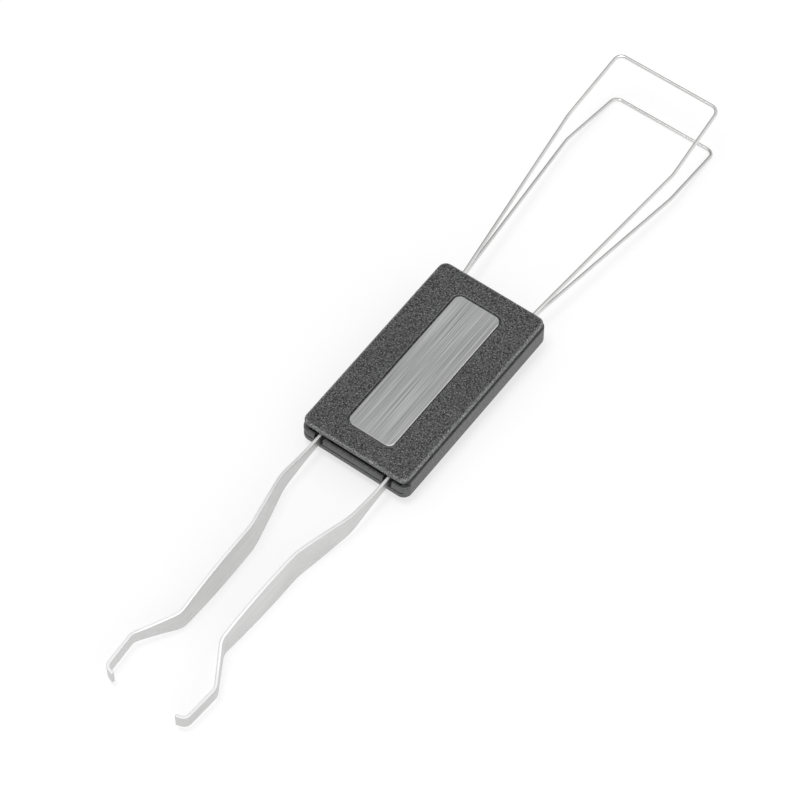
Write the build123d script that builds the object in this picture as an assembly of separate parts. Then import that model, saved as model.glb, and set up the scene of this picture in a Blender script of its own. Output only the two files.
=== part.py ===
"""Keycap and switch puller: two wire loops, a two-part grip and a pair of sprung jaws.

Frame: +Y points to the wire loops, -Y to the jaws, +Z is up, normal to the grip.
The origin is the middle of the flat underside of the grip. Millimetres.
"""
from build123d import *
from itertools import accumulate
from math import cos, radians, sin
import os

# Grip, made of a tray and a cover that meet at a shadow gap
GRIP_WIDTH = 19.0
GRIP_LENGTH = 35.3
GRIP_CORNER_RADIUS = 1.4
GRIP_WALL = 1.2
MIDDLE_HEIGHT = 2.0
TRAY_FLOOR = 0.6
TRAY_RIB = 1.0
TRAY_EDGE_RADIUS = 0.4
LIP_CLEARANCE = 0.08
COVER_THICKNESS = 1.47
COVER_SIDE_SETBACK = 0.2
COVER_END_SETBACK = 0.1
COVER_FLANGE = 0.4
COVER_EDGE_RADIUS = 0.35
SHADOW_GAP_DEPTH = 0.45
SHADOW_GAP_HEIGHT = 0.65
NEAR_WALL_DROP = 0.42
NEAR_WALL_EDGE_RADIUS = 0.2
NEAR_GROOVE_LEVEL = 1.3
NEAR_GROOVE_HEIGHT = 0.3
NEAR_GROOVE_DEPTH = 0.3
NOTCH_MARGIN = 0.55

# Pins on the cover, pressed into bosses on the tray
PIN_DIAMETER = 1.5
PIN_LENGTH = 1.7
PIN_CLEARANCE = 0.05
PIN_INSET = 9.0
BOSS_WALL = 0.7

# Inlay plate and its pocket
PLATE_WIDTH = 8.4
PLATE_LENGTH = 28.0
PLATE_THICKNESS = 0.5
PLATE_RECESS = 0.05
PLATE_CORNER_RADIUS = 1.3
PLATE_BEVEL = 0.3
PLATE_CLEARANCE = 0.1

# Wire loops: runs are measured along the tool from bend to bend, rises from the middle of the grip
WIRE_DIAMETER = 0.55
WIRE_GAP = 0.11
WIRE_CLEARANCE = 0.06
ANCHOR_DEPTH = 9.5
ANCHOR_TAIL = 2.6
ANCHOR_TURN = 20.0
ANCHOR_BEND = 1.2
EXIT_HALF_WIDTH = 6.35
EXIT_LEAD = 1.0
EXIT_BEND = 8.0
LEG_RUN = 31.56
KNEE_HALF_WIDTH = 9.6
KNEE_RISE = 3.06
KNEE_BEND = 6.0
NOSE_RUN = 12.8
BAR_HALF_WIDTH = 9.15
BAR_RISE = 5.37
BAR_BEND = 1.3

# Jaw spring: runs are measured along the tool from bend to bend, widths to the middle of the strip
STRIP_THICKNESS = 0.5
STRIP_CLEARANCE = 0.08
WEB_OFFSET = 0.0
WEB_BEND = 1.5
ARM_HALF_WIDTH = 6.1
NECK_HEIGHT = 1.8
NECK_LEAD = 0.4
NECK_RUN = 8.64
SHOULDER_HEIGHT = 4.0
SHOULDER_BEND = 12.0
SHOULDER_RUN = 9.8
PINCH_HALF_WIDTH = 3.92
PINCH_HEIGHT = 6.3
PINCH_BEND = 10.0
BLADE_RUN = 16.7
BLADE_TOE_IN = 0.34
WAIST_HEIGHT = 4.2
WAIST_BEND = 3.0
FLARE_RUN = 6.2
JAW_HALF_WIDTH = 7.36
JAW_HEIGHT = 2.4
JAW_BEND = 2.0
JAW_RUN = 6.1
JAW_TOE_IN = 0.36
HEEL_BEND = 1.1
TIP_RUN = 0.5
TIP_TURN_IN = 1.5

# Cuts run this far past the faces that they open
CUT_PAST = 1.0

# Levels and planes that several pieces share
near_face = -GRIP_LENGTH / 2
far_face = GRIP_LENGTH / 2
split_height = MIDDLE_HEIGHT + NECK_HEIGHT / 2 + STRIP_CLEARANCE
grip_top = split_height + COVER_THICKNESS
flange_floor = grip_top - COVER_FLANGE
lip_top = flange_floor - SHADOW_GAP_HEIGHT
pocket_floor = grip_top - PLATE_RECESS - PLATE_THICKNESS
cover_width = GRIP_WIDTH - 2 * COVER_SIDE_SETBACK
cover_length = GRIP_LENGTH - 2 * COVER_END_SETBACK
cover_radius = GRIP_CORNER_RADIUS - COVER_END_SETBACK
body_width = cover_width - 2 * SHADOW_GAP_DEPTH
body_length = cover_length - 2 * SHADOW_GAP_DEPTH
body_radius = cover_radius - SHADOW_GAP_DEPTH
seat_width = body_width + 2 * LIP_CLEARANCE
seat_length = body_length + 2 * LIP_CLEARANCE
wire_radius = WIRE_DIAMETER / 2
wire_offset = (WIRE_DIAMETER + WIRE_GAP) / 2
wire_bed = MIDDLE_HEIGHT - wire_offset - wire_radius - WIRE_CLEARANCE
wire_top = MIDDLE_HEIGHT + wire_offset + wire_radius
anchor_place = far_face - ANCHOR_DEPTH
exit_place = far_face + EXIT_LEAD
knee_place = exit_place + LEG_RUN
bar_place = knee_place + NOSE_RUN
strip_slot = STRIP_THICKNESS + 2 * STRIP_CLEARANCE
wire_slot = WIRE_DIAMETER + 2 * WIRE_CLEARANCE
pin_places = [(0, near_face + PIN_INSET), (0, far_face - PIN_INSET)]
spring_runs = (NECK_RUN, SHOULDER_RUN, BLADE_RUN, FLARE_RUN, JAW_RUN, TIP_RUN)
spring_places = [near_face - reach for reach in accumulate(spring_runs)]
shoulder_place, pinch_place, waist_place, jaw_place, heel_place, tip_place = spring_places
waist_half_width = PINCH_HALF_WIDTH - BLADE_TOE_IN
heel_half_width = JAW_HALF_WIDTH - JAW_TOE_IN
tip_half_width = heel_half_width - TIP_TURN_IN


def span_box(x_span, y_span, z_span):
    """Box between the given limits."""
    size = [high - low for low, high in (x_span, y_span, z_span)]
    middle = [(high + low) / 2 for low, high in (x_span, y_span, z_span)]
    return Pos(*middle) * Box(*size)


def rounded_block(width, length, radius, bottom, top):
    """Upright block with rounded corners, centred on the Z axis."""
    return Pos(0, 0, bottom) * extrude(RectangleRounded(width, length, radius), top - bottom)


def mirrored_path(half_points, half_bends):
    """Path through the half points and their mirror images in X, with a bend at each inner point."""
    other_half = [(-x, y, z) for x, y, z in reversed(half_points)]
    return FilletPolyline(*half_points, *other_half, radius=half_bends + half_bends[::-1])


def swept_strip(path, thickness, height):
    """Strip of the given thickness that stands on edge along a level path."""
    start_plane = Plane(path @ 0, x_dir=(0, 0, 1), z_dir=path % 0)
    return sweep(start_plane * Rectangle(height, thickness), path=path)


def swept_slot(path, width, bottom, top):
    """Upright slot of the given width along a level path at the middle height."""
    height = top - bottom
    return Pos(0, 0, (top + bottom) / 2 - MIDDLE_HEIGHT) * swept_strip(path, width, height)


def spring_bed_path():
    """Route of the spring inside the grip, run out through the near wall."""
    return mirrored_path(
        [(ARM_HALF_WIDTH, near_face - CUT_PAST, MIDDLE_HEIGHT), (ARM_HALF_WIDTH, WEB_OFFSET, MIDDLE_HEIGHT)],
        [WEB_BEND],
    )


def anchor_end(tail):
    """Place in X and Y where a wire's cranked end of the given length stops, on the +X side."""
    turn = radians(ANCHOR_TURN)
    return EXIT_HALF_WIDTH - tail * sin(turn), anchor_place - tail * cos(turn)


def wire_bed_path():
    """Route of a wire end inside the grip, on the +X side, run out through the far wall."""
    return FilletPolyline(
        (*anchor_end(ANCHOR_TAIL + WIRE_CLEARANCE), MIDDLE_HEIGHT),
        (EXIT_HALF_WIDTH, anchor_place, MIDDLE_HEIGHT),
        (EXIT_HALF_WIDTH, far_face + CUT_PAST, MIDDLE_HEIGHT),
        radius=ANCHOR_BEND,
    )


def tray_pockets():
    """Hollows between the ribs: one inside the bent spring, one between the wire ends."""
    rib_line = ARM_HALF_WIDTH - strip_slot / 2 - TRAY_RIB
    web_line = WEB_OFFSET - strip_slot / 2 - TRAY_RIB
    anchor_line = anchor_end(ANCHOR_TAIL + WIRE_CLEARANCE)[0] - wire_slot / 2 - TRAY_RIB
    bridge_line = WEB_OFFSET + strip_slot / 2 + TRAY_RIB
    depth = (TRAY_FLOOR, split_height + CUT_PAST)
    spring_pocket = span_box((-rib_line, rib_line), (near_face + GRIP_WALL, web_line), depth)
    wire_pocket = span_box((-anchor_line, anchor_line), (bridge_line, far_face - GRIP_WALL), depth)
    return spring_pocket + wire_pocket


def near_openings():
    """Lowered near wall, corner to corner, the trough behind it and the notches that the arms come out of."""
    outer_line = GRIP_WIDTH / 2 + CUT_PAST
    trough_line = GRIP_WIDTH / 2 - GRIP_WALL
    through_wall = (near_face - CUT_PAST, near_face + GRIP_WALL)
    behind_lip = (-seat_length / 2, near_face + GRIP_WALL)
    sill = split_height - NEAR_WALL_DROP
    half_notch = STRIP_THICKNESS / 2 + NOTCH_MARGIN
    notch_floor = MIDDLE_HEIGHT - NECK_HEIGHT / 2 - STRIP_CLEARANCE
    opening = span_box((-outer_line, outer_line), through_wall, (sill, lip_top + CUT_PAST))
    opening += span_box((-trough_line, trough_line), behind_lip, (notch_floor, sill))
    for side in (-1, 1):
        middle = side * ARM_HALF_WIDTH
        notch_span = (middle - half_notch, middle + half_notch)
        opening += span_box(notch_span, through_wall, (notch_floor, sill))
    return opening


def near_groove():
    """Shallow parting groove across the near face."""
    half_height = NEAR_GROOVE_HEIGHT / 2
    return span_box(
        (-GRIP_WIDTH / 2, GRIP_WIDTH / 2),
        (near_face - CUT_PAST, near_face + NEAR_GROOVE_DEPTH),
        (NEAR_GROOVE_LEVEL - half_height, NEAR_GROOVE_LEVEL + half_height),
    )


def cover_seat():
    """Room for the cover's body inside the lip of the tray."""
    seat_radius = body_radius + LIP_CLEARANCE
    return rounded_block(seat_width, seat_length, seat_radius, split_height, lip_top + CUT_PAST)


def lower_cover():
    """Tray with a lip, beds for the spring and the wires, and bosses for the pins."""
    tray = rounded_block(GRIP_WIDTH, GRIP_LENGTH, GRIP_CORNER_RADIUS, 0, lip_top)
    tray = fillet(tray.faces().sort_by(Axis.Z)[0].edges(), TRAY_EDGE_RADIUS)
    tray -= cover_seat()
    tray -= tray_pockets()
    boss_radius = PIN_DIAMETER / 2 + PIN_CLEARANCE + BOSS_WALL
    for place in pin_places:
        tray += Pos(*place, TRAY_FLOOR) * extrude(Circle(boss_radius), split_height - TRAY_FLOOR)
    for place in pin_places:
        socket = extrude(Circle(PIN_DIAMETER / 2 + PIN_CLEARANCE), PIN_LENGTH + PIN_CLEARANCE, dir=(0, 0, -1))
        tray -= Pos(*place, split_height) * socket
    tray -= near_openings()
    sill_edges = tray.edges().filter_by(Axis.X).group_by(Axis.Y)[0].group_by(Axis.Z)[-1]
    tray = fillet(sill_edges, NEAR_WALL_EDGE_RADIUS)
    tray -= near_groove()
    strip_floor = MIDDLE_HEIGHT - NECK_HEIGHT / 2 - STRIP_CLEARANCE
    tray -= swept_slot(spring_bed_path(), strip_slot, strip_floor, lip_top + CUT_PAST)
    wire_bed_cut = swept_slot(wire_bed_path(), wire_slot, wire_bed, lip_top + CUT_PAST)
    tray -= wire_bed_cut
    tray -= mirror(wire_bed_cut, Plane.YZ)
    return tray


def upper_cover():
    """Cover with a flange over the shadow gap, a pocket for the plate, pins and wire keepers."""
    flange = rounded_block(cover_width, cover_length, cover_radius, flange_floor, grip_top)
    flange = fillet(flange.faces().sort_by(Axis.Z)[-1].edges(), COVER_EDGE_RADIUS)
    cover = flange + rounded_block(body_width, body_length, body_radius, split_height, flange_floor)
    for place in pin_places:
        cover += Pos(*place, split_height) * extrude(Circle(PIN_DIAMETER / 2), PIN_LENGTH, dir=(0, 0, -1))
    keeper_run = (anchor_place + ANCHOR_BEND, body_length / 2)
    keeper_drop = (wire_top + WIRE_CLEARANCE, split_height)
    for side in (-1, 1):
        middle = side * EXIT_HALF_WIDTH
        keeper_span = (middle - wire_radius, middle + wire_radius)
        cover += span_box(keeper_span, keeper_run, keeper_drop)
    pocket = rounded_block(
        PLATE_WIDTH + 2 * PLATE_CLEARANCE,
        PLATE_LENGTH + 2 * PLATE_CLEARANCE,
        PLATE_CORNER_RADIUS + PLATE_CLEARANCE,
        pocket_floor,
        grip_top + CUT_PAST,
    )
    return cover - pocket


def inlay_plate():
    """Flat plate with bevelled upper edges, seated on the floor of its pocket."""
    top = pocket_floor + PLATE_THICKNESS
    plate = rounded_block(PLATE_WIDTH, PLATE_LENGTH, PLATE_CORNER_RADIUS, pocket_floor, top)
    return chamfer(plate.faces().sort_by(Axis.Z)[-1].edges(), PLATE_BEVEL)


def wire_loop(side):
    """Bent wire: cranked ends in the grip, legs that splay to one side, knees and a cross bar."""
    level = MIDDLE_HEIGHT + side * wire_offset
    path = mirrored_path(
        [
            (*anchor_end(ANCHOR_TAIL), level),
            (EXIT_HALF_WIDTH, anchor_place, level),
            (EXIT_HALF_WIDTH, exit_place, level),
            (KNEE_HALF_WIDTH, knee_place, MIDDLE_HEIGHT + side * KNEE_RISE),
            (BAR_HALF_WIDTH, bar_place, MIDDLE_HEIGHT + side * BAR_RISE),
        ],
        [ANCHOR_BEND, EXIT_BEND, KNEE_BEND, BAR_BEND],
    )
    return sweep(Plane(path @ 0, z_dir=path % 0) * Circle(wire_radius), path=path)


def spring_path():
    """Route of the strip seen from above, from tip to tip round the web."""
    half_route = [
        (tip_half_width, tip_place),
        (heel_half_width, heel_place),
        (JAW_HALF_WIDTH, jaw_place),
        (waist_half_width, waist_place),
        (PINCH_HALF_WIDTH, pinch_place),
        (ARM_HALF_WIDTH, shoulder_place),
        (ARM_HALF_WIDTH, WEB_OFFSET),
    ]
    half_points = [(x, y, MIDDLE_HEIGHT) for x, y in half_route]
    half_bends = [HEEL_BEND, JAW_BEND, WAIST_BEND, PINCH_BEND, SHOULDER_BEND, WEB_BEND]
    return mirrored_path(half_points, half_bends)


def spring_side_outline():
    """Side outline of the strip: narrow neck, broad blade and slim jaw, drawn in Y and Z."""
    stations = [
        (near_face - NECK_LEAD, NECK_HEIGHT),
        (shoulder_place, SHOULDER_HEIGHT),
        (pinch_place, PINCH_HEIGHT),
        (waist_place, WAIST_HEIGHT),
        (jaw_place, JAW_HEIGHT),
    ]
    upper_points = [(place, MIDDLE_HEIGHT + height / 2) for place, height in stations]
    jaw_end = tip_place - CUT_PAST
    web_end = WEB_OFFSET + CUT_PAST
    neck_top = MIDDLE_HEIGHT + NECK_HEIGHT / 2
    jaw_top = MIDDLE_HEIGHT + JAW_HEIGHT / 2
    blade_edge = Spline(*upper_points, tangents=[(-1, 0), (-1, 0)])
    straight_edges = Polyline(
        upper_points[-1],
        (jaw_end, jaw_top),
        (jaw_end, MIDDLE_HEIGHT),
        (web_end, MIDDLE_HEIGHT),
        (web_end, neck_top),
        upper_points[0],
    )
    half_face = make_face(blade_edge.edges() + straight_edges.edges())
    lower_face = mirror(half_face, Plane.XZ.offset(-MIDDLE_HEIGHT))
    return half_face + lower_face


def jaw_spring():
    """One strip bent into a U, with shaped arms that end in hooks."""
    side_outline = spring_side_outline()
    strip = swept_strip(spring_path(), STRIP_THICKNESS, side_outline.bounding_box().size.Y + CUT_PAST)
    half_span = strip.bounding_box().size.X / 2 + CUT_PAST
    return strip & extrude(Plane.YZ * side_outline, half_span, both=True)


def main():
    """Write each piece to its own file."""
    pieces = {
        "upper_cover": upper_cover(),
        "lower_cover": lower_cover(),
        "inlay_plate": inlay_plate(),
        "upper_wire_loop": wire_loop(1),
        "lower_wire_loop": wire_loop(-1),
        "jaw_spring": jaw_spring(),
    }
    os.makedirs("parts", exist_ok=True)
    for name, shape in pieces.items():
        export_step(shape, f"parts/{name}.step")


if __name__ == "__main__":
    main()
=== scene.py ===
"""Dressed model of a keycap and switch puller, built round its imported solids. Metres.

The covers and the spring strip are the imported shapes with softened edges. The wire loops are
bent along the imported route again, with a rounder section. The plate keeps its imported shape.
"""

import logging
from collections.abc import Callable, Iterator
from dataclasses import dataclass, field
from enum import Enum
from math import atan, ceil, copysign, cos, radians, sin, tan
from typing import Self

import bmesh
import bpy
from mathutils import Matrix, Vector

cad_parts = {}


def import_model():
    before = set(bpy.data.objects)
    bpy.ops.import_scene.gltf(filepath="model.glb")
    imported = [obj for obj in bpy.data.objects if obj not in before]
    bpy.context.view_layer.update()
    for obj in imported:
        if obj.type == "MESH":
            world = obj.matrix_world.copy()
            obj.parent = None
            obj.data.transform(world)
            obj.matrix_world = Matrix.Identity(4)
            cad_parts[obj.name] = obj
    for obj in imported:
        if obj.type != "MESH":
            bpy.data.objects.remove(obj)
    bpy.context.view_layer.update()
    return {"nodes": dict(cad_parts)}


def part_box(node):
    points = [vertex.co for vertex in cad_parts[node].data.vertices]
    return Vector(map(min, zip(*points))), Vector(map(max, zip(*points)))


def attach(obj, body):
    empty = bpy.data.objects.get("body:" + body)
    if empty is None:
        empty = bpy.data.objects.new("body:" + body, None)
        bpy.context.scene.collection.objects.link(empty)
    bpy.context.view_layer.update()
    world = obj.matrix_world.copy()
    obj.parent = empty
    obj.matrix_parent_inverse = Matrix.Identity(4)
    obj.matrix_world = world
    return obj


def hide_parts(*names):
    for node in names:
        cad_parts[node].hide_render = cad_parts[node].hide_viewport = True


LOG = logging.getLogger("puller")
ROOT_BODY = "root"
MM = 0.001

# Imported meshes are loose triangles: points this close are one, and an edge this flat is none
MERGE_DISTANCE = 0.001 * MM
FLAT_ANGLE = radians(0.2)
SHARP_ANGLE = radians(35)

# Ranges that masks and patterns are mapped to
RISING = (0.0, 1.0)
FALLING = (1.0, 0.0)

# Height of a grain half way between its pits and its crests
MIDDLE_HEIGHT = 0.5

Colour = tuple[float, float, float, float]
Span = tuple[float, float]
Socket = bpy.types.NodeSocket
Sockets = dict[str, Socket]
Nodes = dict[str, bpy.types.Object]
Shape = bmesh.types.BMesh
Edges = list[bmesh.types.BMEdge]


def grey(level: float, warmth: float = 0.0) -> Colour:
    """Gives a grey of a level between 0 and 1, slightly warm or, below 0, cool."""
    return level * (1 + warmth), level, level * (1 - warmth), 1.0


class Slot(Enum):
    """Material slots that the record names."""

    COVER_TOP = "cover_top"
    COVER_BASE = "cover_base"
    PLATE = "plate"
    WIRE = "wire"
    SPRING = "spring"


class Effect(Enum):
    """Surface effects that several finishes share, each one node group."""

    GRAIN = "moulded_grain"
    LINES = "working_lines"
    TONE = "slow_tone"
    RIM = "polished_rim"
    LEVEL = "level_faces"


class Tree:
    """Adds nodes to one node tree and joins them."""

    # A Mix node's sockets for the share, the first and the second input, and its result
    COLOUR_INPUTS = (0, 6, 7)
    COLOUR_RESULT = 2
    VALUE_INPUTS = (0, 2, 3)
    VALUE_RESULT = 0

    def __init__(self, tree: bpy.types.NodeTree) -> None:
        """Keeps the tree that the nodes go to."""
        self.tree = tree

    def node(self, kind: str, **settings: object) -> bpy.types.Node:
        """Adds a node.

        Args:
            kind: Blender's name of the node's type.
            settings: Properties of the node, by name.

        Returns:
            The new node.
        """
        made = self.tree.nodes.new(kind)
        for name, value in settings.items():
            setattr(made, name, value)
        return made

    def join(self, source: object, target: Socket) -> None:
        """Links an output to an input, or sets the input where the source is a plain value.

        Args:
            source: Output socket, number, vector or colour.
            target: Input socket.
        """
        if isinstance(source, Socket):
            self.tree.links.new(source, target)
        else:
            target.default_value = source

    def maths(self, operation: str, first: object, second: object = 0.0) -> Socket:
        """Adds a Math node.

        Args:
            operation: Blender's name of the operation.
            first: First value or output.
            second: Second value or output.

        Returns:
            The result's socket.
        """
        made = self.node("ShaderNodeMath", operation=operation)
        self.join(first, made.inputs[0])
        self.join(second, made.inputs[1])
        return made.outputs[0]

    def span(self, value: object, old: tuple[object, object], new: Span) -> Socket:
        """Maps one range of values to another and stops at its ends.

        Args:
            value: Value or output to map.
            old: Lowest and highest value before, or outputs that give them.
            new: What these two become.

        Returns:
            The mapped value's socket.
        """
        made = self.node("ShaderNodeMapRange", clamp=True)
        for source, target in zip((value, *old, *new), made.inputs):
            self.join(source, target)
        return made.outputs[0]

    def mixed(self, share: object, first: object, second: object, way: str = "MIX") -> Socket:
        """Mixes two colours.

        Args:
            share: Share of the second colour.
            first: First colour or output.
            second: Second colour or output.
            way: Blender's name of the blend type.

        Returns:
            The mixed colour's socket.
        """
        made = self.node("ShaderNodeMix", data_type="RGBA", blend_type=way)
        for source, target in zip((share, first, second), self.COLOUR_INPUTS):
            self.join(source, made.inputs[target])
        return made.outputs[self.COLOUR_RESULT]

    def blend(self, share: object, first: object, second: object) -> Socket:
        """Mixes two values.

        Args:
            share: Share of the second value.
            first: First value or output.
            second: Second value or output.

        Returns:
            The mixed value's socket.
        """
        made = self.node("ShaderNodeMix", data_type="FLOAT")
        for source, target in zip((share, first, second), self.VALUE_INPUTS):
            self.join(source, made.inputs[target])
        return made.outputs[self.VALUE_RESULT]

    def noise(self, place: object, scale: object, detail: float) -> Socket:
        """Adds a noise pattern.

        Args:
            place: Coordinates that it reads.
            scale: Patches in a metre.
            detail: Number of finer layers in it.

        Returns:
            The pattern's value, about 0.5 on average.
        """
        made = self.node("ShaderNodeTexNoise")
        self.join(place, made.inputs["Vector"])
        self.join(scale, made.inputs["Scale"])
        self.join(detail, made.inputs["Detail"])
        return made.outputs["Fac"]


@dataclass
class SurfaceEffects:
    """Builds the shared node groups once and places them in materials.

    A scale is relative to the one that the material gives. A span holds the two values of a pattern
    between which the effect changes, or, for the rim, two cosines of the turn of its normal.
    """

    crest_reach: float = 0.8
    crest_share: float = 0.25
    ragged_scale: float = 0.8
    ragged_span: Span = (0.38, 0.62)
    glint_scale: float = 1.3
    glint_span: Span = (0.6, 0.74)
    broad_scale: float = 0.35
    broad_share: float = 0.25
    line_span: Span = (0.33, 0.67)
    tone_span: Span = (0.3, 0.7)
    rim_samples: int = 8
    rim_span: Span = (0.78, 0.995)
    groups: dict[Effect, bpy.types.NodeTree] = field(init=False)

    def __post_init__(self) -> None:
        """Builds every group."""
        self.groups = {
            Effect.GRAIN: self.moulded_grain(),
            Effect.LINES: self.working_lines(),
            Effect.TONE: self.slow_tone(),
            Effect.RIM: self.polished_rim(),
            Effect.LEVEL: self.level_faces(),
        }

    def place(self, tree: Tree, effect: Effect, **values: object) -> bpy.types.Node:
        """Places a group in a material.

        Args:
            tree: The material's nodes.
            effect: Which group.
            values: What goes to the group's inputs, by name.

        Returns:
            The group's node.
        """
        made = tree.node("ShaderNodeGroup", node_tree=self.groups[effect])
        for name, value in values.items():
            tree.join(value, made.inputs[name])
        return made

    @staticmethod
    def start(effect: Effect, inputs: dict[str, str], outputs: list[str]) -> tuple[Tree, Sockets, Sockets]:
        """Starts a group with its named sockets.

        Args:
            effect: Effect that the group is for.
            inputs: Kind of each input socket, by name.
            outputs: Names of the value outputs.

        Returns:
            The group's nodes, the sockets inside that give its inputs, and those that take its outputs.
        """
        group = bpy.data.node_groups.new(effect.value, "ShaderNodeTree")
        for name, kind in inputs.items():
            group.interface.new_socket(name=name, in_out="INPUT", socket_type=kind)
        for name in outputs:
            group.interface.new_socket(name=name, in_out="OUTPUT", socket_type="NodeSocketFloat")
        tree = Tree(group)
        entry = tree.node("NodeGroupInput")
        leave = tree.node("NodeGroupOutput")
        given = {name: entry.outputs[name] for name in inputs}
        taken = {name: leave.inputs[name] for name in outputs}
        return tree, given, taken

    def moulded_grain(self) -> bpy.types.NodeTree:
        """Builds the grain of a spark-eroded mould: rounded crests and pits, and a mask of a few painted
        glints.

        Returns:
            The group.
        """
        kinds = {"Vector": "NodeSocketVector", "Scale": "NodeSocketFloat"}
        tree, given, taken = self.start(Effect.GRAIN, kinds, ["Height", "Fleck"])
        crests = tree.node("ShaderNodeTexVoronoi", feature="F1")
        tree.join(given["Vector"], crests.inputs["Vector"])
        tree.join(given["Scale"], crests.inputs["Scale"])
        rounded = tree.span(crests.outputs["Distance"], (0.0, self.crest_reach), FALLING)
        ragged_scale = tree.maths("MULTIPLY", given["Scale"], self.ragged_scale)
        ragged = tree.noise(given["Vector"], ragged_scale, detail=2.0)
        spread = tree.span(ragged, self.ragged_span, RISING)
        tree.join(tree.blend(self.crest_share, spread, rounded), taken["Height"])
        # Bright specks on the grain: painted glints.
        glint_scale = tree.maths("MULTIPLY", given["Scale"], self.glint_scale)
        glints = tree.noise(given["Vector"], glint_scale, detail=0.0)
        tree.join(tree.span(glints, self.glint_span, RISING), taken["Fleck"])
        return tree.tree

    def working_lines(self) -> bpy.types.NodeTree:
        """Builds lines along Y, as brushing, rolling or drawing leaves them: broad ones and fine ones.

        Returns:
            The group.
        """
        kinds = {"Vector": "NodeSocketVector", "Across": "NodeSocketFloat", "Along": "NodeSocketFloat"}
        tree, given, taken = self.start(Effect.LINES, kinds, ["Line", "Height"])
        stretch = tree.node("ShaderNodeCombineXYZ")
        for axis, name in zip(stretch.inputs, ("Across", "Along", "Across")):
            tree.join(given[name], axis)
        drawn_out = tree.node("ShaderNodeVectorMath", operation="MULTIPLY")
        tree.join(given["Vector"], drawn_out.inputs[0])
        tree.join(stretch.outputs[0], drawn_out.inputs[1])
        broad = tree.noise(drawn_out.outputs[0], self.broad_scale, detail=2.0)
        fine = tree.noise(drawn_out.outputs[0], 1.0, detail=1.0)
        both = tree.blend(self.broad_share, fine, broad)
        tree.join(tree.span(both, self.line_span, RISING), taken["Line"])
        tree.join(fine, taken["Height"])
        return tree.tree

    def slow_tone(self) -> bpy.types.NodeTree:
        """Builds a slow change of tone over a surface, about 0.5 on average.

        Returns:
            The group.
        """
        kinds = {"Vector": "NodeSocketVector", "Scale": "NodeSocketFloat"}
        tree, given, taken = self.start(Effect.TONE, kinds, ["Tone"])
        clouds = tree.noise(given["Vector"], given["Scale"], detail=2.0)
        tree.join(tree.span(clouds, self.tone_span, RISING), taken["Tone"])
        return tree.tree

    def polished_rim(self) -> bpy.types.NodeTree:
        """Builds a mask of the rims, 1 at an edge and 0 away from it: polish from handling, and a painted
        highlight on the rounded edges.

        Returns:
            The group.
        """
        tree, given, taken = self.start(Effect.RIM, {"Radius": "NodeSocketFloat"}, ["Rim"])
        rounded = tree.node("ShaderNodeBevel", samples=self.rim_samples)
        tree.join(given["Radius"], rounded.inputs["Radius"])
        surface = tree.node("ShaderNodeNewGeometry")
        turned = tree.node("ShaderNodeVectorMath", operation="DOT_PRODUCT")
        tree.join(rounded.outputs[0], turned.inputs[0])
        tree.join(surface.outputs["Normal"], turned.inputs[1])
        tree.join(tree.span(turned.outputs["Value"], self.rim_span, FALLING), taken["Rim"])
        return tree.tree

    def level_faces(self) -> bpy.types.NodeTree:
        """Builds a mask of the faces that look up or down, by how upright their normals stand.

        It is 0 where a normal's rise is at most Steep, and 1 where it is at least Flat.

        Returns:
            The group.
        """
        kinds = {"Steep": "NodeSocketFloat", "Flat": "NodeSocketFloat"}
        tree, given, taken = self.start(Effect.LEVEL, kinds, ["Level"])
        upright = tree.node("ShaderNodeSeparateXYZ")
        tree.join(tree.node("ShaderNodeTexCoord").outputs["Normal"], upright.inputs[0])
        rise = tree.maths("ABSOLUTE", upright.outputs["Z"])
        tree.join(tree.span(rise, (given["Steep"], given["Flat"]), RISING), taken["Level"])
        return tree.tree


def start_material(name: str) -> tuple[bpy.types.Material, Tree, bpy.types.Node, Socket]:
    """Starts a material.

    Args:
        name: Its name.

    Returns:
        The material, its nodes, its Principled shader and the piece's own coordinates.
    """
    material = bpy.data.materials.new(name)
    material.use_nodes = True
    tree = Tree(material.node_tree)
    shader = material.node_tree.nodes["Principled BSDF"]
    return material, tree, shader, tree.node("ShaderNodeTexCoord").outputs["Object"]


def add_relief(tree: Tree, shader: bpy.types.Node, height: Socket, depth: float) -> None:
    """Lets a height pattern turn the surface.

    Args:
        tree: The material's nodes.
        shader: Its Principled shader.
        height: Pattern between 0 and 1.
        depth: Height of a full step, in metres.
    """
    bump = tree.node("ShaderNodeBump")
    tree.join(depth, bump.inputs["Distance"])
    tree.join(height, bump.inputs["Height"])
    tree.join(bump.outputs[0], shader.inputs["Normal"])


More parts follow.
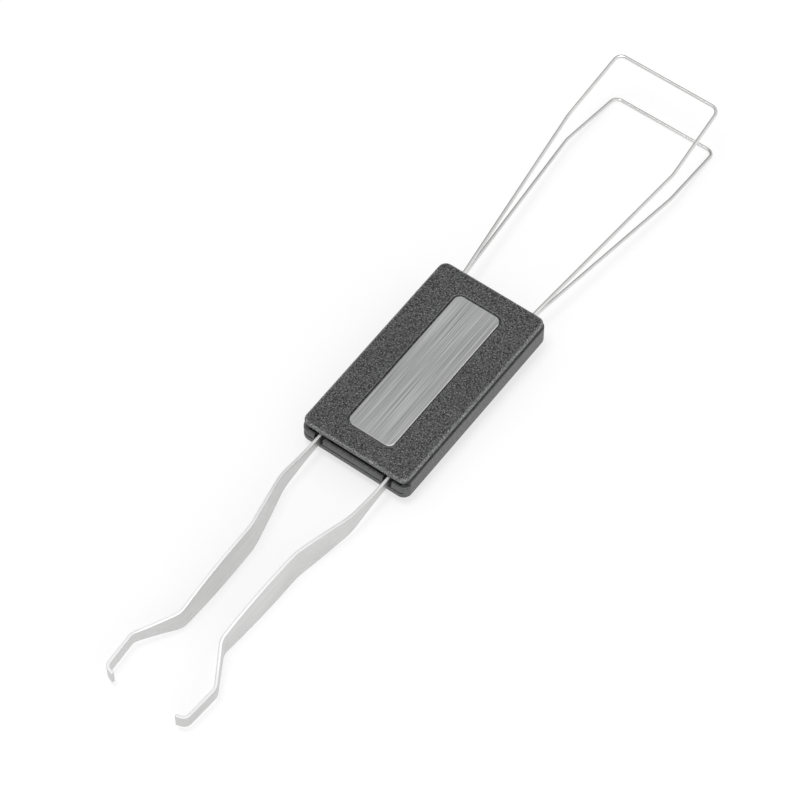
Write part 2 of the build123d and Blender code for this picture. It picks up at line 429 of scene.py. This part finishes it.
@dataclass(frozen=True)
class MouldedPlastic:
    """Dark plastic with the grain of its mould.

    A face counts as flat once its normal rises past flat, and not at all below steep. Off the flat, the
    grain and the colour are multiplied by their shares there: the colour's share is a painted highlight
    that lightens the rounded edges and sides. The grain's pits carry painted shade, its crests and
    specks a painted highlight, and its rims handling polish with a painted highlight.
    """

    name: str
    # Colours of the grain's pits and crests: painted shade in the pits, painted highlight on the crests.
    pit: Colour
    crest: Colour
    # Colour and share of the bright specks: painted glints.
    fleck: Colour
    fleck_share: float
    # Colour of the rims: handling polish and a painted highlight.
    rim: Colour
    rim_share: float
    rim_radius: float
    steep: float
    flat: float
    grain_off_flat: float
    # Factor on the colour off the flat: a painted highlight on rounded edges and sides.
    tint_off_flat: float
    roughness: float
    roughness_spread: float
    grains_per_metre: float
    depth: float
    tone_spread: float
    patches_per_metre: float

    def material(self, effects: SurfaceEffects) -> bpy.types.Material:
        """Makes the material.

        Args:
            effects: The shared node groups.

        Returns:
            The material.
        """
        material, tree, shader, place = start_material(self.name)
        grain = effects.place(tree, Effect.GRAIN, Vector=place, Scale=self.grains_per_metre)
        tone = effects.place(tree, Effect.TONE, Vector=place, Scale=self.patches_per_metre)
        rim = effects.place(tree, Effect.RIM, Radius=self.rim_radius)
        level = effects.place(tree, Effect.LEVEL, Steep=self.steep, Flat=self.flat).outputs["Level"]
        grain_share = tree.span(level, RISING, (self.grain_off_flat, 1.0))
        height = tree.blend(grain_share, MIDDLE_HEIGHT, grain.outputs["Height"])
        # The grain's height picks a colour between pits and crests: painted shade in the pits, painted
        # highlight on the crests.
        shaded_grain = tree.mixed(height, self.pit, self.crest)
        # The brightest specks of the grain are painted glints.
        glint_mask = tree.maths("MULTIPLY", grain.outputs["Fleck"], self.fleck_share)
        glinted = tree.mixed(tree.maths("MULTIPLY", glint_mask, grain_share), shaded_grain, self.fleck)
        # Lighter rims: partly polish from handling, partly a painted highlight.
        worn = tree.maths("MULTIPLY", rim.outputs["Rim"], self.rim_share)
        handled_and_highlit = tree.mixed(worn, glinted, self.rim)
        shade = tree.span(tone.outputs["Tone"], RISING, (1 - self.tone_spread, 1 + self.tone_spread))
        # Off the flat the colour is multiplied by a factor: a painted highlight on the rounded edges and
        # sides, on top of a random tone.
        tone_and_highlight = tree.maths("MULTIPLY", shade, tree.span(level, RISING, (self.tint_off_flat, 1.0)))
        tree.join(tree.mixed(1.0, handled_and_highlit, tone_and_highlight, "MULTIPLY"), shader.inputs["Base Color"])
        rough_ends = (self.roughness + self.roughness_spread, self.roughness - self.roughness_spread)
        tree.join(tree.span(height, RISING, rough_ends), shader.inputs["Roughness"])
        add_relief(tree, shader, height, self.depth)
        return material


class Faces(Enum):
    """Faces of a metal piece, by how they lie."""

    LEVEL = "level"
    SLOPED = "sloped"


@dataclass(frozen=True)
class Polish:
    """Faces of a metal piece with a colour and roughness of their own: the polished bevel of a plate, or
    the edges of a strip, made near white as a painted highlight.

    A face counts as level once its normal rises past flat, and as sloped below steep.
    """

    faces: Faces
    steep: float
    flat: float
    colour: Colour
    roughness: float


@dataclass(frozen=True)
class WorkedMetal:
    """Metal with the lines that brushing, rolling or drawing leaves along the tool."""

    name: str
    dull: Colour
    bright: Colour
    roughness: float
    roughness_spread: float
    lines_across: float
    lines_along: float
    depth: float
    tone_spread: float
    patches_per_metre: float
    polish: Polish | None = None

    def material(self, effects: SurfaceEffects) -> bpy.types.Material:
        """Makes the material.

        Args:
            effects: The shared node groups.

        Returns:
            The material.
        """
        material, tree, shader, place = start_material(self.name)
        lines = effects.place(
            tree, Effect.LINES, Vector=place, Across=self.lines_across, Along=self.lines_along
        )
        tone = effects.place(tree, Effect.TONE, Vector=place, Scale=self.patches_per_metre)
        lined = tree.mixed(lines.outputs["Line"], self.dull, self.bright)
        rough_ends = (self.roughness + self.roughness_spread, self.roughness - self.roughness_spread)
        rough = tree.span(lines.outputs["Line"], RISING, rough_ends)
        # On the chosen faces colour and roughness change: a real polish on the plate's bevel, a painted
        # highlight on the strip's edges.
        if self.polish is not None:
            rises = {"Steep": self.polish.steep, "Flat": self.polish.flat}
            share = effects.place(tree, Effect.LEVEL, **rises).outputs["Level"]
            if self.polish.faces is Faces.SLOPED:
                share = tree.maths("SUBTRACT", 1.0, share)
            lined = tree.mixed(share, lined, self.polish.colour)
            rough = tree.blend(share, rough, self.polish.roughness)
        shade = tree.span(tone.outputs["Tone"], RISING, (1 - self.tone_spread, 1 + self.tone_spread))
        tree.join(tree.mixed(1.0, lined, shade, "MULTIPLY"), shader.inputs["Base Color"])
        tree.join(rough, shader.inputs["Roughness"])
        shader.inputs["Metallic"].default_value = 1.0
        add_relief(tree, shader, lines.outputs["Height"], self.depth)
        return material


GRAINED_COVER = MouldedPlastic(
    name="grained_cover",
    # Black pits and lighter crests: painted shade and painted highlight in the grain.
    pit=grey(0.0, -0.01),
    crest=grey(0.098, -0.01),
    # Pale specks: painted glints.
    fleck=grey(0.28),
    fleck_share=0.7,
    # Lighter rim: handling polish and a painted highlight.
    rim=grey(0.19),
    rim_share=0.5,
    rim_radius=0.25 * MM,
    steep=0.91,
    flat=0.995,
    grain_off_flat=0.5,
    # Rounded edges and sides three times lighter than the top: a painted highlight.
    tint_off_flat=3.0,
    roughness=0.44,
    roughness_spread=0.08,
    grains_per_metre=4000,
    depth=0.045 * MM,
    tone_spread=0.06,
    patches_per_metre=90,
)

SATIN_TRAY = MouldedPlastic(
    name="satin_tray",
    # Darker pits and lighter crests: painted shade and painted highlight in the grain.
    pit=grey(0.066, -0.01),
    crest=grey(0.139, -0.01),
    # Pale specks: painted glints.
    fleck=grey(0.13),
    fleck_share=0.3,
    # Lighter rim: handling polish and a painted highlight.
    rim=grey(0.15),
    rim_share=0.4,
    rim_radius=0.15 * MM,
    steep=0.91,
    flat=0.995,
    grain_off_flat=1.0,
    tint_off_flat=1.0,
    roughness=0.42,
    roughness_spread=0.06,
    grains_per_metre=4600,
    depth=0.014 * MM,
    tone_spread=0.05,
    patches_per_metre=110,
)

BRUSHED_PLATE = WorkedMetal(
    name="brushed_plate",
    dull=grey(0.32, -0.004),
    bright=grey(0.62, -0.004),
    roughness=0.58,
    roughness_spread=0.05,
    lines_across=7500,
    lines_along=70,
    depth=0.004 * MM,
    tone_spread=0.04,
    patches_per_metre=70,
    polish=Polish(Faces.SLOPED, steep=0.91, flat=0.995, colour=grey(0.62), roughness=0.2),
)

DRAWN_WIRE = WorkedMetal(
    name="drawn_wire",
    dull=grey(0.70, 0.004),
    bright=grey(0.76, 0.004),
    roughness=0.26,
    roughness_spread=0.03,
    lines_across=9000,
    lines_along=400,
    depth=0.0008 * MM,
    tone_spread=0.05,
    patches_per_metre=160,
)

SATIN_STRIP = WorkedMetal(
    name="satin_strip",
    dull=grey(0.60, 0.004),
    bright=grey(0.65, 0.004),
    roughness=0.42,
    roughness_spread=0.04,
    lines_across=4200,
    lines_along=60,
    depth=0.002 * MM,
    tone_spread=0.05,
    patches_per_metre=85,
    # Near-white edges facing up or down: a painted highlight.
    polish=Polish(Faces.LEVEL, steep=0.6, flat=0.85, colour=grey(0.92), roughness=0.65),
)


def merged_copy(node: bpy.types.Object) -> Shape:
    """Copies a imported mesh, joins its loose triangles and clears the edges inside flat faces.

    Args:
        node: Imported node.

    Returns:
        The copied shape.
    """
    shape = bmesh.new()
    shape.from_mesh(node.data)
    bmesh.ops.remove_doubles(shape, verts=shape.verts, dist=MERGE_DISTANCE)
    bmesh.ops.dissolve_limit(shape, angle_limit=FLAT_ANGLE, verts=shape.verts, edges=shape.edges)
    return shape


def sharp_edges(shape: Shape) -> Edges:
    """Lists the edges where two faces meet at a clear angle."""
    return [edge for edge in shape.edges if edge.is_manifold and edge.calc_face_angle() > SHARP_ANGLE]


def round_edges(
    shape: Shape,
    chosen: Callable[[Vector], bool],
    radius: float,
    segments: int,
) -> None:
    """Rounds the sharp edges that lie in a chosen place.

    Args:
        shape: Shape to change.
        chosen: Says whether a point lies in that place. Both ends of an edge have to.
        radius: Width that the rounding takes of each face.
        segments: Number of steps in the rounding.
    """
    edges = [edge for edge in sharp_edges(shape) if all(chosen(end.co) for end in edge.verts)]
    bmesh.ops.bevel(
        shape,
        geom=edges,
        offset=radius,
        offset_type="OFFSET",
        segments=segments,
        profile=0.5,
        affect="EDGES",
        material=-1,
        clamp_overlap=True,
    )


def finished_piece(
    name: str,
    shape: Shape,
    node: str,
    slot: Slot,
    material: bpy.types.Material,
) -> bpy.types.Object:
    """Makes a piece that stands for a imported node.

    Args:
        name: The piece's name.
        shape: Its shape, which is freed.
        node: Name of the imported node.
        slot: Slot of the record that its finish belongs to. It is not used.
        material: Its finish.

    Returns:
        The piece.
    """
    for face in shape.faces:
        face.smooth = True
    for edge in sharp_edges(shape):
        edge.smooth = False
    mesh = bpy.data.meshes.new(name)
    shape.to_mesh(mesh)
    shape.free()
    packed_normals = mesh.attributes.get("custom_normal")
    if packed_normals is not None:
        mesh.attributes.remove(packed_normals)
    mesh.materials.clear()
    mesh.materials.append(material)
    piece = bpy.data.objects.new(name, mesh)
    bpy.context.scene.collection.objects.link(piece)
    weighted = piece.modifiers.new("weighted_normals", "WEIGHTED_NORMAL")
    weighted.keep_sharp = True
    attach(piece, ROOT_BODY)
    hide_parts(node)
    return piece


@dataclass(frozen=True)
class Grip:
    """Two covers that meet at a shadow gap, and the plate that is let into the upper one."""

    half_width: float
    half_length: float
    tray_top: float
    cover_half_width: float
    cover_half_length: float
    top: float
    plate_half_width: float
    plate_half_length: float
    pocket_gap: float = 0.1 * MM
    cover_corner: float = 1.3 * MM
    cover_rounding: float = 0.35 * MM
    worn_rounding: float = 0.6 * MM
    flange: float = 0.4 * MM
    outer_share: float = 0.95
    level_margin: float = 0.01 * MM
    rim_radius: float = 0.07 * MM
    rim_segments: int = 3

    @classmethod
    def from_frame(cls) -> Self:
        """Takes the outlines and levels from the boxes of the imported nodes.

        Returns:
            The grip.
        """
        tray, cover, plate = (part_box(node)[1] for node in ("lower_cover", "upper_cover", "inlay_plate"))
        return cls(
            half_width=tray.x,
            half_length=tray.y,
            tray_top=tray.z,
            cover_half_width=cover.x,
            cover_half_length=cover.y,
            top=cover.z,
            plate_half_width=plate.x,
            plate_half_length=plate.y,
        )

    def on_outline(self, point: Vector) -> bool:
        """Says whether a point lies on the grip's outer wall."""
        reach = max(abs(point.x) / self.half_width, abs(point.y) / self.half_length)
        return reach > self.outer_share

    def on_level(self, point: Vector, level: float) -> bool:
        """Says whether a point lies at a level."""
        return abs(point.z - level) < self.level_margin

    def on_pocket_rim(self, point: Vector) -> bool:
        """Says whether a point lies on the rim of the plate's pocket.

        Args:
            point: The point.

        Returns:
            True where it does.
        """
        room = self.pocket_gap + self.level_margin
        across = abs(point.x) < self.plate_half_width + room
        along = abs(point.y) < self.plate_half_length + room
        return self.on_level(point, self.top) and across and along

    def on_cover_rims(self, point: Vector) -> bool:
        """Says whether a point lies on a rim of the upper cover that shows."""
        flange_rim = self.on_level(point, self.top - self.flange) and self.on_outline(point)
        return flange_rim or self.on_pocket_rim(point)

    def on_tray_rim(self, point: Vector) -> bool:
        """Says whether a point lies on the outer rim of the tray."""
        return self.on_level(point, self.tray_top) and self.on_outline(point)

    def inside_cover(self, point: Vector) -> tuple[float, Vector]:
        """Measures how far a point lies inside the upper cover's outline.

        Args:
            point: The point.

        Returns:
            The distance to the outline, and the direction straight away from it.
        """
        past_x = abs(point.x) - self.cover_half_width + self.cover_corner
        past_y = abs(point.y) - self.cover_half_length + self.cover_corner
        outward = Vector((max(past_x, 0.0), max(past_y, 0.0), 0.0))
        if outward.length == 0:
            outward = Vector((1, 0, 0)) if past_x > past_y else Vector((0, 1, 0))
            depth = self.cover_corner - max(past_x, past_y)
        else:
            depth = self.cover_corner - outward.length
        outward.normalize()
        return depth, Vector((-copysign(outward.x, point.x), -copysign(outward.y, point.y), 0.0))

    def widen_rounding(self, cover: Shape) -> None:
        """Draws the rounding of the upper edge out over the upper face, as a worn mould leaves it.

        Args:
            cover: Shape of the upper cover.
        """
        growth = self.worn_rounding / self.cover_rounding - 1
        lowest = self.top - self.cover_rounding - self.level_margin
        for point in cover.verts:
            depth, inward = self.inside_cover(point.co)
            if point.co.z > lowest and depth < self.cover_rounding + self.level_margin:
                point.co += inward * depth * growth

    def build(self, nodes: Nodes, effects: SurfaceEffects) -> Iterator[bpy.types.Object]:
        """Builds the grip's pieces and dresses them.

        Args:
            nodes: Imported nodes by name.
            effects: The shared node groups.

        Returns:
            The pieces, one after another.
        """
        cover = merged_copy(nodes["upper_cover"])
        self.widen_rounding(cover)
        round_edges(cover, self.on_cover_rims, self.rim_radius, self.rim_segments)
        finish = GRAINED_COVER.material(effects)
        yield finished_piece("grained_cover", cover, "upper_cover", Slot.COVER_TOP, finish)
        tray = merged_copy(nodes["lower_cover"])
        round_edges(tray, self.on_tray_rim, self.rim_radius, self.rim_segments)
        finish = SATIN_TRAY.material(effects)
        yield finished_piece("satin_tray", tray, "lower_cover", Slot.COVER_BASE, finish)
        plate = nodes["inlay_plate"]
        plate.material_slots[0].material = BRUSHED_PLATE.material(effects)
        yield plate


class Loop(Enum):
    """The two wire loops, by the way they splay: 1 is up and -1 is down."""

    UPPER = 1
    LOWER = -1

    @property
    def piece(self) -> str:
        """Name of the loop's piece."""
        return f"{self.name.lower()}_wire"

    @property
    def node(self) -> str:
        """Name of the loop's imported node."""
        return f"{self.piece}_loop"


@dataclass(frozen=True)
class Bend:
    """Round bend of a wire at one corner of its route."""

    before: Vector
    corner: Vector
    after: Vector
    radius: float

    @property
    def coming(self) -> Vector:
        """Direction of the wire before the bend."""
        return (self.corner - self.before).normalized()

    @property
    def going(self) -> Vector:
        """Direction of the wire after the bend."""
        return (self.after - self.corner).normalized()

    @property
    def turn(self) -> float:
        """Angle that the wire turns by."""
        return self.coming.angle(self.going)

    @property
    def start(self) -> Vector:
        """Point where the bend starts."""
        return self.corner - self.coming * self.radius * tan(self.turn / 2)

    @property
    def end(self) -> Vector:
        """Point where the bend ends."""
        return self.corner + self.going * self.radius * tan(self.turn / 2)

    @property
    def axis(self) -> Vector:
        """Axis that the wire turns about."""
        return self.coming.cross(self.going).normalized()

    @property
    def centre(self) -> Vector:
        """Middle of the bend."""
        return self.start + self.axis.cross(self.coming) * self.radius


@dataclass(frozen=True)
class WireLoops:
    """Upper and lower loop, each one bent wire: cranked ends, splayed legs, knees and a cross bar."""

    wire_radius: float = 0.275 * MM
    sides: int = 20
    bend_step: float = radians(6)
    middle: float = 2.0 * MM
    offset: float = 0.33 * MM
    anchor_place: float = 8.15 * MM
    anchor_tail: float = 2.6 * MM
    anchor_turn: float = radians(20)
    exit_half_width: float = 6.35 * MM
    exit_place: float = 18.65 * MM
    knee_half_width: float = 9.6 * MM
    knee_place: float = 50.21 * MM
    knee_rise: float = 3.06 * MM
    bar_half_width: float = 9.15 * MM
    bar_place: float = 63.01 * MM
    bar_rise: float = 5.37 * MM
    bends: tuple[float, ...] = (1.2 * MM, 8.0 * MM, 6.0 * MM, 1.3 * MM)

    def route(self, loop: Loop) -> list[Vector]:
        """Lists the corners of a loop's route from end to end.

        Args:
            loop: Which loop.

        Returns:
            The corners.
        """
        way = loop.value
        level = self.middle + way * self.offset
        end_half_width = self.exit_half_width - self.anchor_tail * sin(self.anchor_turn)
        end_place = self.anchor_place - self.anchor_tail * cos(self.anchor_turn)
        half = [
            Vector((end_half_width, end_place, level)),
            Vector((self.exit_half_width, self.anchor_place, level)),
            Vector((self.exit_half_width, self.exit_place, level)),
            Vector((self.knee_half_width, self.knee_place, self.middle + way * self.knee_rise)),
            Vector((self.bar_half_width, self.bar_place, self.middle + way * self.bar_rise)),
        ]
        return half + [Vector((-corner.x, corner.y, corner.z)) for corner in reversed(half)]

    def bent_wire(self, loop: Loop) -> Shape:
        """Bends a wire along its route, run by run and bend by bend.

        Args:
            loop: Which loop.

        Returns:
            The loop's shape.
        """
        corners = self.route(loop)
        heading = (corners[1] - corners[0]).normalized()
        placing = Matrix.Translation(corners[0]) @ heading.to_track_quat("Z", "Y").to_matrix().to_4x4()
        shape = bmesh.new()
        bmesh.ops.create_circle(shape, segments=self.sides, radius=self.wire_radius, matrix=placing)
        first_rim = list(shape.edges)
        rim = first_rim
        reached = corners[0]
        radii = self.bends + self.bends[::-1]
        for before, corner, after, radius in zip(corners, corners[1:], corners[2:], radii):
            bend = Bend(before, corner, after, radius)
            rim = self.straight(shape, rim, bend.start - reached)
            rim = self.bent(shape, rim, bend)
            reached = bend.end
        last_rim = self.straight(shape, rim, corners[-1] - reached)
        for end_rim in (first_rim, last_rim):
            bmesh.ops.edgeloop_fill(shape, edges=end_rim)
        bmesh.ops.recalc_face_normals(shape, faces=shape.faces)
        return shape

    @staticmethod
    def straight(shape: Shape, rim: Edges, run: Vector) -> Edges:
        """Draws the wire on in a straight run.

        Args:
            shape: The loop's shape.
            rim: Edges of its open end.
            run: Length and direction of the run.

        Returns:
            Edges of the new open end.
        """
        added = bmesh.ops.extrude_edge_only(shape, edges=rim)["geom"]
        points = [part for part in added if isinstance(part, bmesh.types.BMVert)]
        bmesh.ops.translate(shape, verts=points, vec=run)
        ahead = set(points)
        edges = [part for part in added if isinstance(part, bmesh.types.BMEdge)]
        return [edge for edge in edges if ahead.issuperset(edge.verts)]

    def bent(self, shape: Shape, rim: Edges, bend: Bend) -> Edges:
        """Draws the wire on round a bend.

        Args:
            shape: The loop's shape.
            rim: Edges of its open end.
            bend: The bend.

        Returns:
            Edges of the new open end.
        """
        points = list({point for edge in rim for point in edge.verts})
        last = bmesh.ops.spin(
            shape,
            geom=points + rim,
            cent=bend.centre,
            axis=bend.axis,
            angle=bend.turn,
            steps=ceil(bend.turn / self.bend_step),
            use_merge=False,
        )["geom_last"]
        return [part for part in last if isinstance(part, bmesh.types.BMEdge)]

    def build(self, nodes: Nodes, effects: SurfaceEffects) -> Iterator[bpy.types.Object]:
        """Builds both loops and dresses them.

        Args:
            nodes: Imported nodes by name. The loops need none of them.
            effects: The shared node groups.

        Returns:
            The pieces, one after another.
        """
        finish = DRAWN_WIRE.material(effects)
        for loop in Loop:
            yield finished_piece(loop.piece, self.bent_wire(loop), loop.node, Slot.WIRE, finish)


@dataclass(frozen=True)
class JawSpring:
    """Spring strip with rolled edges, bent into two shaped arms with hooked jaws."""

    edge_radius: float = 0.2 * MM
    edge_segments: int = 4

    def build(self, nodes: Nodes, effects: SurfaceEffects) -> Iterator[bpy.types.Object]:
        """Builds the strip and dresses it.

        Args:
            nodes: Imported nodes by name.
            effects: The shared node groups.

        Returns:
            The one piece.
        """
        strip = merged_copy(nodes["jaw_spring"])
        round_edges(strip, lambda point: True, self.edge_radius, self.edge_segments)
        finish = SATIN_STRIP.material(effects)
        yield finished_piece("spring_strip", strip, "jaw_spring", Slot.SPRING, finish)


@dataclass(frozen=True)
class Studio:
    """White floor, soft light from above and the camera.

    The sky changes from far to near over a span of facing the near side. Its other spans are of height,
    from 0 at the horizon to 1 overhead.
    """

    floor_size: float = 6.0
    floor_colour: Colour = grey(0.38)
    floor_glow: float = 0.64
    sky_top: float = 0.92
    sky_near: float = 1.6
    sky_far: float = 0.3
    sky_horizon: float = 0.2
    sky_turn: Span = (-0.8, 0.8)
    sky_upper: Span = (0.45, 0.9)
    sky_lower: Span = (0.05, 0.3)
    backdrop_fade: Span = (0.08, 0.14)
    near_side: tuple[float, float, float] = (0.95, -0.31, 0.0)
    key_direction: tuple[float, float, float] = (-0.04, -0.19, 0.98)
    key_distance: float = 0.8
    key_size: float = 0.26
    key_power: float = 1.8
    lens: float = 162.0
    sensor: float = 36.0
    aim: tuple[float, float, float] = (-0.855 * MM, -4.957 * MM, 1.682 * MM)
    view_azimuth: float = radians(36.30)
    view_elevation: float = radians(56.70)
    view_distance: float = 523.03 * MM

    def floor(self, nodes: Nodes) -> None:
        """Lays the floor against the lower loop and the arms: white to the eye, and it keeps the shadows.

        Args:
            nodes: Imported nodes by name.
        """
        loop = [point.co for point in nodes["lower_wire_loop"].data.vertices]
        loop_end = min(loop, key=lambda place: place.z)
        arms = [point.co for point in nodes["jaw_spring"].data.vertices]
        slope = min((place.z - loop_end.z) / (loop_end.y - place.y) for place in arms)
        placing = Matrix.Translation((0, loop_end.y, loop_end.z)) @ Matrix.Rotation(-atan(slope), 4, "X")
        shape = bmesh.new()
        bmesh.ops.create_grid(shape, x_segments=1, y_segments=1, size=self.floor_size / 2, matrix=placing)
        mesh = bpy.data.meshes.new("floor")
        shape.to_mesh(mesh)
        shape.free()
        mesh.materials.append(self.floor_finish())
        floor = bpy.data.objects.new("floor", mesh)
        bpy.context.scene.collection.objects.link(floor)

    def floor_finish(self) -> bpy.types.Material:
        """Makes the floor's material, which can be seen through from below.

        Returns:
            The material.
        """
        material = bpy.data.materials.new("white_floor")
        material.use_nodes = True
        material.node_tree.nodes.clear()
        tree = Tree(material.node_tree)
        matt = tree.node("ShaderNodeBsdfDiffuse")
        tree.join(self.floor_colour, matt.inputs["Color"])
        rays = tree.node("ShaderNodeLightPath").outputs
        seen = tree.maths("MAXIMUM", rays["Is Camera Ray"], rays["Is Glossy Ray"])
        shown = tree.maths("MAXIMUM", seen, rays["Is Transmission Ray"])
        glow = tree.node("ShaderNodeEmission")
        tree.join(tree.maths("MULTIPLY", shown, self.floor_glow), glow.inputs["Strength"])
        lit = tree.node("ShaderNodeAddShader")
        tree.join(matt.outputs[0], lit.inputs[0])
        tree.join(glow.outputs[0], lit.inputs[1])
        clear = tree.node("ShaderNodeBsdfTransparent")
        sides = tree.node("ShaderNodeMixShader")
        tree.join(tree.node("ShaderNodeNewGeometry").outputs["Backfacing"], sides.inputs[0])
        tree.join(lit.outputs[0], sides.inputs[1])
        tree.join(clear.outputs[0], sides.inputs[2])
        tree.join(sides.outputs[0], tree.node("ShaderNodeOutputMaterial").inputs["Surface"])
        return material

    def sky(self) -> None:
        """Sets the light from all round: dark at the horizon, and half way up paler on the near side.

        To the eye it is white all over, and in mirroring surfaces it is white at its foot, as a backdrop.
        """
        world = bpy.data.worlds.new("studio")
        world.use_nodes = True
        world.node_tree.nodes.clear()
        tree = Tree(world.node_tree)
        direction = tree.node("ShaderNodeTexCoord").outputs["Generated"]
        height = tree.node("ShaderNodeSeparateXYZ")
        tree.join(direction, height.inputs[0])
        facing = tree.node("ShaderNodeVectorMath", operation="DOT_PRODUCT")
        tree.join(direction, facing.inputs[0])
        tree.join(self.near_side, facing.inputs[1])
        half_way = tree.span(facing.outputs["Value"], self.sky_turn, (self.sky_far, self.sky_near))
        upper = tree.blend(tree.span(height.outputs["Z"], self.sky_upper, RISING), half_way, self.sky_top)
        whole = tree.blend(tree.span(height.outputs["Z"], self.sky_lower, RISING), self.sky_horizon, upper)
        rays = tree.node("ShaderNodeLightPath").outputs
        mirrored = tree.maths("MAXIMUM", rays["Is Glossy Ray"], rays["Is Transmission Ray"])
        low = tree.span(height.outputs["Z"], self.backdrop_fade, FALLING)
        shown = tree.maths("MAXIMUM", rays["Is Camera Ray"], tree.maths("MULTIPLY", mirrored, low))
        level = tree.maths("MAXIMUM", whole, shown)
        light = tree.node("ShaderNodeBackground")
        tree.join(level, light.inputs["Strength"])
        tree.join(light.outputs[0], tree.node("ShaderNodeOutputWorld").inputs["Surface"])
        bpy.context.scene.world = world

    def key(self) -> None:
        """Hangs the soft key light over the object."""
        lamp = bpy.data.lights.new("key", "AREA")
        lamp.shape = "DISK"
        lamp.size = self.key_size
        lamp.energy = self.key_power
        holder = bpy.data.objects.new("key", lamp)
        direction = Vector(self.key_direction).normalized()
        holder.location = direction * self.key_distance
        holder.rotation_euler = direction.to_track_quat("Z", "Y").to_euler()
        bpy.context.scene.collection.objects.link(holder)

    def camera(self) -> None:
        """Sets the camera at the photograph's viewing angle."""
        side, rise = self.view_azimuth, self.view_elevation
        back = Vector((sin(side) * cos(rise), -cos(side) * cos(rise), sin(rise)))
        optics = bpy.data.cameras.new("camera")
        optics.lens = self.lens
        optics.sensor_width = self.sensor
        holder = bpy.data.objects.new("camera", optics)
        holder.location = Vector(self.aim) + back * self.view_distance
        holder.rotation_euler = back.to_track_quat("Z", "Y").to_euler()
        bpy.context.scene.collection.objects.link(holder)
        bpy.context.scene.camera = holder

    def build(self, nodes: Nodes) -> None:
        """Sets up the floor, the light and the camera.

        Args:
            nodes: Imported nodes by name.
        """
        bpy.context.scene.view_settings.view_transform = "Standard"
        self.floor(nodes)
        self.sky()
        self.key()
        self.camera()


def main() -> None:
    """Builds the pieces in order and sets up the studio."""
    logging.basicConfig(level=logging.INFO, format="%(name)s: %(message)s")
    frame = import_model()
    effects = SurfaceEffects()
    for assembly in (Grip.from_frame(), WireLoops(), JawSpring()):
        for piece in assembly.build(frame["nodes"], effects):
            faces = len(piece.data.polygons)
            LOG.info("%s: %d faces, %s", piece.name, faces, piece.data.materials[0].name)
    Studio().build(frame["nodes"])


if __name__ == "__main__":
    main()
